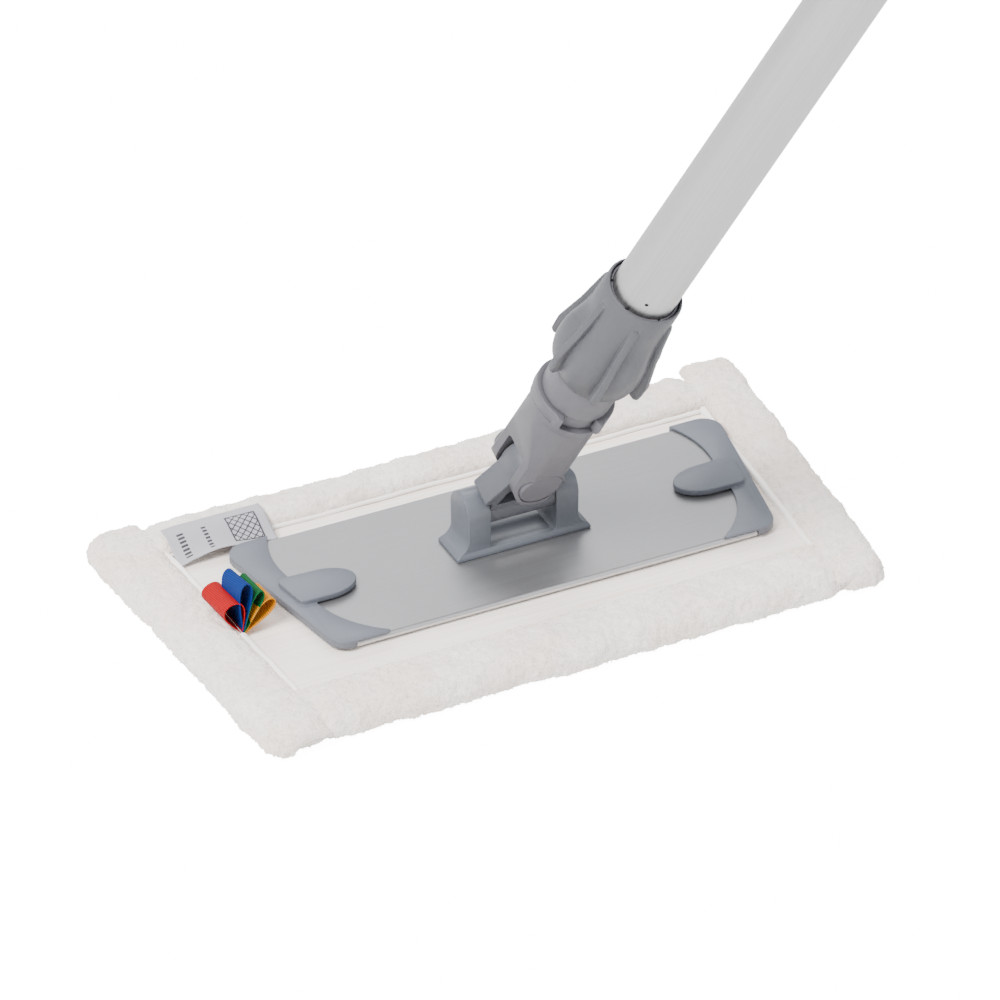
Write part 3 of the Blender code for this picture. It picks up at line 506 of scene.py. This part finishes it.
def satin_finish():
    """White satin binding: a smooth weave, so brighter and slicker than the plush beside it."""
    made, tree, output = finish_named("satin binding")
    place = add(tree, "ShaderNodeTexCoord").outputs["Object"]
    weave = add(tree, "ShaderNodeTexNoise", {"Vector": place, "Scale": 900, "Detail": 2})
    bump = relief(tree, weave.outputs["Fac"], 0.2, 0.2 * MM)
    shade = add(tree, "ShaderNodeBsdfPrincipled", {
        "Base Color": srgb("#fdf8f3"), "Roughness": 0.5, "Normal": bump.outputs["Normal"],
        "Sheen Weight": 0.2, "Specular IOR Level": 0.4,
    })
    tree.links.new(shade.outputs[0], output.inputs[0])
    return made


satin = satin_finish()


def piping(name, node, start, stop, seed, wide=3.2 * MM, tall=4.2 * MM):
    """A strip of tape: an ellipse with a bell-shaped crease along its top, carried along a
    slightly wavering line."""
    rows, columns = 160, 18
    start, stop = np.array(start, float), np.array(stop, float)
    along = np.linspace(0, 1, rows)
    line = start + (stop - start) * along[:, None]
    away = np.cross((0, 0, 1.0), (stop - start) / np.linalg.norm(stop - start))
    line = line + away * (0.35 * MM * waves(line, 30 * MM, seed))[:, None]
    angle = np.linspace(0, 2 * np.pi, columns, endpoint=False)
    side = 0.5 * wide * np.cos(angle)
    crease = 0.22 * np.exp(-(side / (0.4 * MM)) ** 2) * (np.sin(angle) > 0)
    up = 0.5 * tall * np.sin(angle) * (1 - crease)
    points = line[:, None, :] + away * side[:, None] + np.array((0, 0, 1.0)) * up[:, None]
    points[..., 2] += 0.12 * MM * waves(points, 9 * MM, seed + 1)
    made = surface(name, points, satin, around=True, capped=True)
    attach(made, "head")
    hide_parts(node)


tape_y0, tape_y1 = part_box("binding_tape_left")[0].y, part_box("binding_tape_left")[1].y
tape_z = panel_high.z + 1.0 * MM
TAPE_IN = 1.4 * MM
for name, side, seed in (("left", -1, 81), ("right", 1, 83)):
    ends = [(seam(side, y, TAPE_IN), y, tape_z) for y in (tape_y0 - 6 * MM, tape_y1)]
    piping("piping_" + name, "binding_tape_" + name, *ends, seed)
for name, y, seed in (("front", tape_y0 - 5.5 * MM, 85), ("rear", tape_y1 - 0.8 * MM, 87)):
    ends = [(seam(side, y, TAPE_IN + 1.5 * MM), y, tape_z) for side in (-1, 1)]
    piping("piping_" + name, "binding_tape_" + name, *ends, seed, wide=1.8 * MM, tall=2.0 * MM)


# ---- Care label: a strip of taffeta caught in the left seam
# Its far half lies up on the rear band and its free near edge lifts off the panel.

def label_finish():
    """Light grey taffeta with a plain pattern printed in dark ink: rows of dashes and a square
    of crossing lines, with no words. The printed lines are drawn coarse enough to be seen."""
    made, tree, output = finish_named("printed taffeta")
    uv = add(tree, "ShaderNodeUVMap", uv_map="UVMap").outputs[0]
    weave = add(tree, "ShaderNodeTexWave", {"Vector": uv, "Scale": 420, "Distortion": 0.3},
                bands_direction="DIAGONAL")
    axis = add(tree, "ShaderNodeSeparateXYZ", {0: uv})
    along, across = axis.outputs["X"], axis.outputs["Y"]

    def math_of(kind, first, second):
        return add(tree, "ShaderNodeMath", {0: first, 1: second}, operation=kind).outputs[0]

    def between(value, low, high):
        """1 where the value lies between two limits."""
        return math_of("MULTIPLY", math_of("GREATER_THAN", value, low), math_of("LESS_THAN", value, high))

    def lines(value, pitch, thick):
        """1 on lines that repeat at a pitch."""
        return math_of("LESS_THAN", math_of("PINGPONG", value, pitch / 2), thick / 2)

    def joined(first, second):
        return math_of("MAXIMUM", first, second)

    slope, counter = math_of("ADD", along, across), math_of("SUBTRACT", along, across)
    lattice = joined(lines(slope, 3.8 * MM, 0.8 * MM), lines(counter, 3.8 * MM, 0.8 * MM))
    outer = math_of("MULTIPLY", between(along, 29 * MM, 44 * MM), between(across, 3.5 * MM, 19.5 * MM))
    inner = math_of("MULTIPLY", between(along, 29.7 * MM, 43.3 * MM), between(across, 4.2 * MM, 18.8 * MM))
    frame_line = math_of("SUBTRACT", outer, inner)
    ornament = joined(frame_line, math_of("MULTIPLY", inner, lattice))
    dashes = math_of("GREATER_THAN", math_of("PINGPONG", across, 1.1 * MM), 0.45 * MM)
    rows = joined(between(along, 4.6 * MM, 7.8 * MM), between(along, 16.6 * MM, 18.8 * MM))
    written = math_of("MULTIPLY", math_of("MULTIPLY", rows, dashes), between(across, 3 * MM, 18 * MM))
    paper = add(tree, "ShaderNodeMapRange", {
        "Value": weave.outputs["Fac"], "From Min": 0.0, "From Max": 1.0, "To Min": 0.9, "To Max": 1.0,
    })
    ground = add(tree, "ShaderNodeMix", data_type="RGBA", blend_type="MULTIPLY")
    ground.inputs["Factor"].default_value = 1.0
    ground.inputs["A"].default_value = srgb("#a3a2a9")
    tree.links.new(paper.outputs["Result"], ground.inputs["B"])
    colour = add(tree, "ShaderNodeMix", {"Factor": joined(ornament, written)}, data_type="RGBA")
    tree.links.new(ground.outputs["Result"], colour.inputs["A"])
    colour.inputs["B"].default_value = srgb("#26252b")
    bump = relief(tree, weave.outputs["Fac"], 0.15, 0.1 * MM)
    shade = add(tree, "ShaderNodeBsdfPrincipled", {
        "Base Color": colour.outputs["Result"], "Roughness": 0.55, "Normal": bump.outputs["Normal"],
        "Sheen Weight": 0.2,
    })
    tree.links.new(shade.outputs[0], output.inputs[0])
    return made


LABEL_LONG, LABEL_WIDE = 48.5 * MM, 25 * MM
LABEL_COVERS = 21.0 * MM  # depth seen from above, as it slopes and waves
LABEL_NEAR_HIGH, LABEL_CLIMB = 9.4 * MM, 6.2 * MM
LABEL_WAVE, LABEL_DIP = 3.0 * MM, 1.1 * MM
label_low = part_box("care_label")[0]
u, v = np.meshgrid(np.linspace(0, 1, 60), np.linspace(0, 1, 36), indexing="ij")


def label_piece():
    """A strip that climbs smoothly from its near edge to the top of the rear band. A single
    wave, sine squared along it, lifts the near edge, and the sewn end dips."""
    dip = 0.16
    x = label_low.x - 1.5 * MM + LABEL_LONG * u
    y = label_low.y - 1.2 * MM + LABEL_COVERS * v
    z = LABEL_NEAR_HIGH + LABEL_CLIMB * ramp(v / 0.8)
    z = z + LABEL_WAVE * np.sin(np.pi * np.clip(u * 1.15, 0, 1)) ** 2 * (1 - v) ** 1.5
    z = z - LABEL_DIP * ramp((dip - u) / dip) * (1 - 0.5 * v)
    return np.stack([x, y, z], axis=-1)


label = surface(
    "taffeta_label", label_piece(), label_finish(),
    uv=np.stack([LABEL_LONG * u, LABEL_WIDE * v], axis=-1),
)
wall = label.modifiers.new("cloth thickness", "SOLIDIFY")
wall.thickness = 0.35 * MM
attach(label, "head")
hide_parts("care_label")


# ---- Colour loops: four grosgrain ribbons folded double and sewn into the left seam
# The user snips off all but one, to mark the area that the mop is used in.

def grosgrain_finish(name, light, deep):
    """Polyester grosgrain: fine cross ribs about 0.9 mm apart, drawn a little coarse so that
    they show, with painted shade in the grooves (the deep colour) and a soft silky highlight."""
    made, tree, output = finish_named(name)
    uv = add(tree, "ShaderNodeUVMap", uv_map="UVMap").outputs[0]
    ribs = add(tree, "ShaderNodeTexWave", {"Vector": uv, "Scale": 340}, bands_direction="X")
    threads = add(tree, "ShaderNodeTexWave", {"Vector": uv, "Scale": 300, "Distortion": 0.4},
                  bands_direction="Y")
    mixed = add(tree, "ShaderNodeMath", {0: ribs.outputs["Fac"], 1: threads.outputs["Fac"]},
                operation="MULTIPLY")
    # Painted shade: the colour runs from the ribbon's own colour down to the deep colour in the grooves
    # between the ribs.
    tint = add(tree, "ShaderNodeValToRGB", {"Fac": mixed.outputs[0]})
    tint.color_ramp.elements[0].position = 0.05
    tint.color_ramp.elements[0].color = srgb(deep)
    tint.color_ramp.elements[1].position = 0.5
    tint.color_ramp.elements[1].color = srgb(light)
    bump = relief(tree, mixed.outputs[0], 0.5, 0.2 * MM)
    shade = add(tree, "ShaderNodeBsdfPrincipled", {
        "Base Color": tint.outputs["Color"], "Roughness": 0.7, "Normal": bump.outputs["Normal"],
        "Specular IOR Level": 0.15,
    })
    tree.links.new(shade.outputs[0], output.inputs[0])
    return made


LOOP_SCALE = 1.54  # one over the peak of that product, so bulge is half the loop's width


def ribbon(colour, lean, reach, bulge, near, far, turn, light, deep):
    """A folded ribbon: a drop-shaped loop that leans from upright, carried along the seam.
    Angles are in degrees and lengths in millimetres.

    The loop's height goes as (1 - cos) / 2 and its width as sin x sin squared, so both ends
    meet narrowly at the root. turn leans the far edge further than the near one.
    """
    rows, columns = 40, 72
    w = np.linspace(0, 1, rows)[:, None]
    t = np.linspace(0.015, 0.985, columns)[None, :]
    angle = np.radians(lean + turn * w)
    rise = reach * MM * (0.5 - 0.5 * np.cos(2 * np.pi * t)) * (1 - 0.06 * w)
    side = bulge * MM * LOOP_SCALE * np.sin(2 * np.pi * t) * np.sin(np.pi * t) ** 2
    x = loop_root.x + rise * np.sin(angle) + side * np.cos(angle)
    z = loop_root.z + rise * np.cos(angle) - side * np.sin(angle)
    y = (near + (far - near) * w) * MM + 0 * t
    points = np.stack([x, y, np.maximum(z, loop_root.z)], axis=-1)
    step = np.linalg.norm(np.diff(points, axis=1), axis=2)
    run = np.concatenate([np.zeros((rows, 1)), np.cumsum(step, axis=1)], axis=1)
    made = surface(
        f"ribbon_{colour}", points, grosgrain_finish(f"grosgrain {colour}", light, deep),
        uv=np.stack([run, y], axis=-1),
    )
    wall = made.modifiers.new("ribbon thickness", "SOLIDIFY")
    wall.thickness = 0.45 * MM
    wall.offset = 0
    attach(made, "head")
    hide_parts("colour_loop_" + colour)


loop_root = Vector((seam(-1, -15 * MM, 1.6 * MM), 0, panel_high.z + 1.2 * MM))
# The second colour of each ribbon is the painted shade in its grooves.
ribbon("red", -17, 18.5, 4.9, -15, 7, -6, "#b00008", "#7c0006")
ribbon("blue", 5, 27, 3.0, -15, 2, -3, "#00307c", "#001c50")
ribbon("green", 25, 23, 2.4, -15, 3, 0, "#005a28", "#003a1a")
ribbon("yellow", 46, 21.5, 3.3, -15, 1, 3, "#d88c00", "#a46400")


# ---- Plate: 1.5 mm sheet aluminium with a rolled hem at the front and the rear
# It is brushed along its length and left bare; the hems are smoother, and a painted highlight lightens them
# to a bright line.

def shaded_smooth():
    """A modifier group that welds a faceted mesh and shades it smooth, except across edges
    sharper than a limit."""
    group = bpy.data.node_groups.new("smooth by edge angle", "GeometryNodeTree")
    group.interface.new_socket("Geometry", in_out="INPUT", socket_type="NodeSocketGeometry")
    group.interface.new_socket("Geometry", in_out="OUTPUT", socket_type="NodeSocketGeometry")
    start = group.nodes.new("NodeGroupInput")
    stop = group.nodes.new("NodeGroupOutput")
    bare = add(group, "GeometryNodeRemoveAttribute", {"Geometry": start.outputs[0], "Name": "custom_normal"})
    weld = add(group, "GeometryNodeMergeByDistance", {"Geometry": bare.outputs[0], "Distance": 0.01 * MM})
    faces = add(group, "GeometryNodeSetShadeSmooth", {"Geometry": weld.outputs[0], "Shade Smooth": True})
    bend = add(group, "GeometryNodeInputMeshEdgeAngle")
    sharp = add(group, "FunctionNodeCompare", {"A": bend.outputs["Unsigned Angle"], "B": math.radians(33)},
                operation="GREATER_THAN")
    edges = add(group, "GeometryNodeSetShadeSmooth", {
        "Geometry": faces.outputs[0], "Selection": sharp.outputs[0], "Shade Smooth": False,
    }, domain="EDGE")
    group.links.new(edges.outputs[0], stop.inputs[0])
    return group


smooth_group = shaded_smooth()


def dress(node, finish):
    """Gives a CAD piece its finish and smooth shading."""
    piece = nodes[node]
    piece.data.materials.clear()
    piece.data.materials.append(finish)
    step = piece.modifiers.new("smooth shading", "NODES")
    step.node_group = smooth_group


# Where the rolled hems start, out from the middle: past here the sheet is smoother and its colour is
# lightened as a painted highlight.
HEM_FROM, HEM_FULL = 44.3 * MM, 44.7 * MM


def brushed_finish():
    """Bare aluminium sheet, belt brushed: long fine scratches, about 0.6 mm apart as drawn,
    give a soft broad reflection with faint streaks and a few dull patches from handling. The
    rolled hems, which stand out past the sheet's edges, are smoother, and a painted highlight
    lightens their colour."""
    made, tree, output = finish_named("brushed aluminium sheet")
    place = add(tree, "ShaderNodeTexCoord").outputs["Object"]
    stretch = add(tree, "ShaderNodeMapping", {"Vector": place, "Scale": (16, 1500, 1500)})
    scratch = add(tree, "ShaderNodeTexNoise", {
        "Vector": stretch.outputs[0], "Scale": 1.0, "Detail": 4, "Roughness": 0.7,
    })
    patch = add(tree, "ShaderNodeTexNoise", {"Vector": place, "Scale": 22, "Detail": 3})
    rough = add(tree, "ShaderNodeMapRange", {
        "Value": scratch.outputs["Fac"], "From Min": 0.3, "From Max": 0.7, "To Min": 0.44, "To Max": 0.54,
    })
    tint = add(tree, "ShaderNodeValToRGB", {"Fac": scratch.outputs["Fac"]})
    tint.color_ramp.elements[0].position = 0.3
    tint.color_ramp.elements[0].color = srgb("#8b8b8d")
    tint.color_ramp.elements[1].position = 0.7
    tint.color_ramp.elements[1].color = srgb("#969698")
    dull = add(tree, "ShaderNodeMapRange", {
        "Value": patch.outputs["Fac"], "From Min": 0.3, "From Max": 0.7, "To Min": 0.95, "To Max": 1.0,
    })
    colour = add(tree, "ShaderNodeMix", data_type="RGBA", blend_type="MULTIPLY")
    colour.inputs["Factor"].default_value = 1.0
    tree.links.new(tint.outputs["Color"], colour.inputs["A"])
    tree.links.new(dull.outputs["Result"], colour.inputs["B"])
    bump = relief(tree, scratch.outputs["Fac"], 0.08, 0.1 * MM)
    # Painted highlight: the hems' colour is lightened to a pale grey; their lower roughness is the real
    # polish.
    axis = add(tree, "ShaderNodeSeparateXYZ", {0: place})
    from_middle = add(tree, "ShaderNodeMath", {0: axis.outputs["Y"]}, operation="ABSOLUTE")
    hem_polish_and_highlight = add(tree, "ShaderNodeMapRange", {
        "Value": from_middle.outputs[0], "From Min": HEM_FROM, "From Max": HEM_FULL,
    })
    tone = add(tree, "ShaderNodeMix", {"Factor": hem_polish_and_highlight.outputs["Result"]}, data_type="RGBA")
    tree.links.new(colour.outputs["Result"], tone.inputs["A"])
    tone.inputs["B"].default_value = srgb("#bcbcbe")
    polish = add(tree, "ShaderNodeMix", {"Factor": hem_polish_and_highlight.outputs["Result"]}, data_type="FLOAT")
    tree.links.new(rough.outputs["Result"], polish.inputs["A"])
    polish.inputs["B"].default_value = 0.3
    shade = add(tree, "ShaderNodeBsdfPrincipled", {
        "Base Color": tone.outputs["Result"], "Metallic": 0.85, "Roughness": polish.outputs["Result"],
        "Normal": bump.outputs["Normal"],
    })
    tree.links.new(shade.outputs[0], output.inputs[0])
    return made


dress("plate", brushed_finish())


# ---- End caps, bracket, swivel, neck and nut: injection moulded polypropylene
# Each is its own moulding, from a slightly different batch of grey.

def moulded_finish(name, colour, edge, roughness):
    """Moulded polypropylene: an even grey with a fine spark-eroded grain, softly glossy, with
    edges rounded by the mould, and a painted highlight that lightens the colour on them."""
    made, tree, output = finish_named(name)
    place = add(tree, "ShaderNodeTexCoord").outputs["Object"]
    grain = add(tree, "ShaderNodeTexNoise", {"Vector": place, "Scale": 2600, "Detail": 2})
    cloud = add(tree, "ShaderNodeTexNoise", {"Vector": place, "Scale": 55, "Detail": 3})
    soft = add(tree, "ShaderNodeBevel", {"Radius": 0.55 * MM}, samples=6)
    flat = add(tree, "ShaderNodeNewGeometry")
    turn = add(tree, "ShaderNodeVectorMath", {0: soft.outputs["Normal"], 1: flat.outputs["Normal"]},
               operation="DOT_PRODUCT")
    # Painted highlight: the colour turns to the lighter edge grey where the bevelled normal leaves the flat
    # one, on rounded edges.
    painted_edge_highlight = add(tree, "ShaderNodeMapRange", {
        "Value": turn.outputs["Value"], "From Min": 0.995, "From Max": 0.86, "To Min": 0.0, "To Max": 0.55,
    })
    base = add(tree, "ShaderNodeMix", {"Factor": painted_edge_highlight.outputs["Result"]}, data_type="RGBA")
    base.inputs["A"].default_value = srgb(colour)
    base.inputs["B"].default_value = srgb(edge)
    cloud_tone = add(tree, "ShaderNodeMapRange", {
        "Value": cloud.outputs["Fac"], "From Min": 0.3, "From Max": 0.7, "To Min": 0.95, "To Max": 1.02,
    })
    tone = add(tree, "ShaderNodeMix", data_type="RGBA", blend_type="MULTIPLY")
    tone.inputs["Factor"].default_value = 1.0
    tree.links.new(base.outputs["Result"], tone.inputs["A"])
    tree.links.new(cloud_tone.outputs["Result"], tone.inputs["B"])
    bump = relief(tree, grain.outputs["Fac"], 0.12, 0.05 * MM, Normal=soft.outputs["Normal"])
    shade = add(tree, "ShaderNodeBsdfPrincipled", {
        "Base Color": tone.outputs["Result"], "Roughness": roughness, "Normal": bump.outputs["Normal"],
        "IOR": 1.49, "Specular IOR Level": 0.35,
    })
    tree.links.new(shade.outputs[0], output.inputs[0])
    return made


# The second grey of each finish is its painted edge highlight.
cap_grey = moulded_finish("grey polypropylene caps", "#5c6068", "#777c84", 0.45)
bracket_grey = moulded_finish("grey polypropylene bracket", "#595d64", "#777c82", 0.4)
knuckle_grey = moulded_finish("grey polypropylene knuckle", "#53555b", "#6e6f76", 0.45)
swivel_grey = moulded_finish("grey polypropylene swivel", "#57565b", "#717075", 0.45)
nut_grey = moulded_finish("grey polypropylene nut", "#4b4c50", "#66666b", 0.45)
for node in ("end_cap_left", "end_cap_right"):
    dress(node, cap_grey)
dress("bracket", bracket_grey)
dress("knuckle", knuckle_grey)
for node in ("fork", "swing_pin", "swing_pin_cap", "retaining_ring", "neck_sleeve"):
    dress(node, swivel_grey)
dress("clamp_nut", nut_grey)


# ---- Hook strips, rivets and hinge pin: the fixings that stay out of sight
# Black hook tape is glued under the plate. The rivets and the pin are zinc plated steel.

def hook_finish():
    """Black nylon hook tape: rows of stiff hooks, so matt and bristly with a fine grid."""
    made, tree, output = finish_named("nylon hook tape")
    place = add(tree, "ShaderNodeTexCoord").outputs["Object"]
    hooks = add(tree, "ShaderNodeTexVoronoi", {"Vector": place, "Scale": 700})
    tint = add(tree, "ShaderNodeValToRGB", {"Fac": hooks.outputs["Distance"]})
    tint.color_ramp.elements[0].color = srgb("#333336")
    tint.color_ramp.elements[1].color = srgb("#131315")
    bump = relief(tree, hooks.outputs["Distance"], 0.8, 0.6 * MM)
    shade = add(tree, "ShaderNodeBsdfPrincipled", {
        "Base Color": tint.outputs["Color"], "Roughness": 0.8, "Normal": bump.outputs["Normal"],
    })
    tree.links.new(shade.outputs[0], output.inputs[0])
    return made


def zinc_finish():
    """Zinc plated steel: a cool bright metal with a slightly cloudy plating."""
    made, tree, output = finish_named("zinc plated steel")
    place = add(tree, "ShaderNodeTexCoord").outputs["Object"]
    cloud = add(tree, "ShaderNodeTexNoise", {"Vector": place, "Scale": 300, "Detail": 3})
    rough = add(tree, "ShaderNodeMapRange", {"Value": cloud.outputs["Fac"], "To Min": 0.22, "To Max": 0.42})
    shade = add(tree, "ShaderNodeBsdfPrincipled", {
        "Base Color": srgb("#aeb1b4"), "Metallic": 1.0, "Roughness": rough.outputs["Result"],
    })
    tree.links.new(shade.outputs[0], output.inputs[0])
    return made


hook_black = hook_finish()
zinc = zinc_finish()
for node in ("hook_strip_front", "hook_strip_rear"):
    dress(node, hook_black)
for node in ("rivet_1", "rivet_2", "rivet_3", "rivet_4", "hinge_pin"):
    dress(node, zinc)


# ---- Handle: drawn aluminium tube, anodised, with a moulded grip and cap at the far end
# The tube's drawing lines run along it, so its highlight is a long soft streak.

turn_joint = next(j for j in frame["joints"] if j["name"] == "nut_turn")
tube_way = Vector(turn_joint["axis"]).normalized()
along_tube = tube_way.to_track_quat("Z", "Y").to_matrix().transposed().to_euler()


def anodised_finish():
    """Satin anodised aluminium tube: a pale even grey, faintly streaked along the draw."""
    made, tree, output = finish_named("satin anodised aluminium")
    place = add(tree, "ShaderNodeTexCoord").outputs["Object"]
    level = add(tree, "ShaderNodeMapping", {"Vector": place, "Rotation": tuple(along_tube)})
    stretch = add(tree, "ShaderNodeMapping", {"Vector": level.outputs[0], "Scale": (900, 900, 7)})
    lines = add(tree, "ShaderNodeTexNoise", {"Vector": stretch.outputs[0], "Scale": 1.0, "Detail": 3})
    rough = add(tree, "ShaderNodeMapRange", {
        "Value": lines.outputs["Fac"], "From Min": 0.3, "From Max": 0.7, "To Min": 0.36, "To Max": 0.46,
    })
    tint = add(tree, "ShaderNodeValToRGB", {"Fac": lines.outputs["Fac"]})
    tint.color_ramp.elements[0].position = 0.3
    tint.color_ramp.elements[0].color = srgb("#a2a2a2")
    tint.color_ramp.elements[1].position = 0.7
    tint.color_ramp.elements[1].color = srgb("#adadad")
    bump = relief(tree, lines.outputs["Fac"], 0.04, 0.1 * MM)
    shade = add(tree, "ShaderNodeBsdfPrincipled", {
        "Base Color": tint.outputs["Color"], "Metallic": 1.0, "Roughness": rough.outputs["Result"],
        "Normal": bump.outputs["Normal"],
    })
    tree.links.new(shade.outputs[0], output.inputs[0])
    return made


dress("handle_tube", anodised_finish())
# The second grey is the grip's painted edge highlight.
grip_grey = moulded_finish("grey polypropylene grip", "#505156", "#6c6d72", 0.55)
for node in ("hand_grip", "grip_cap"):
    dress(node, grip_grey)
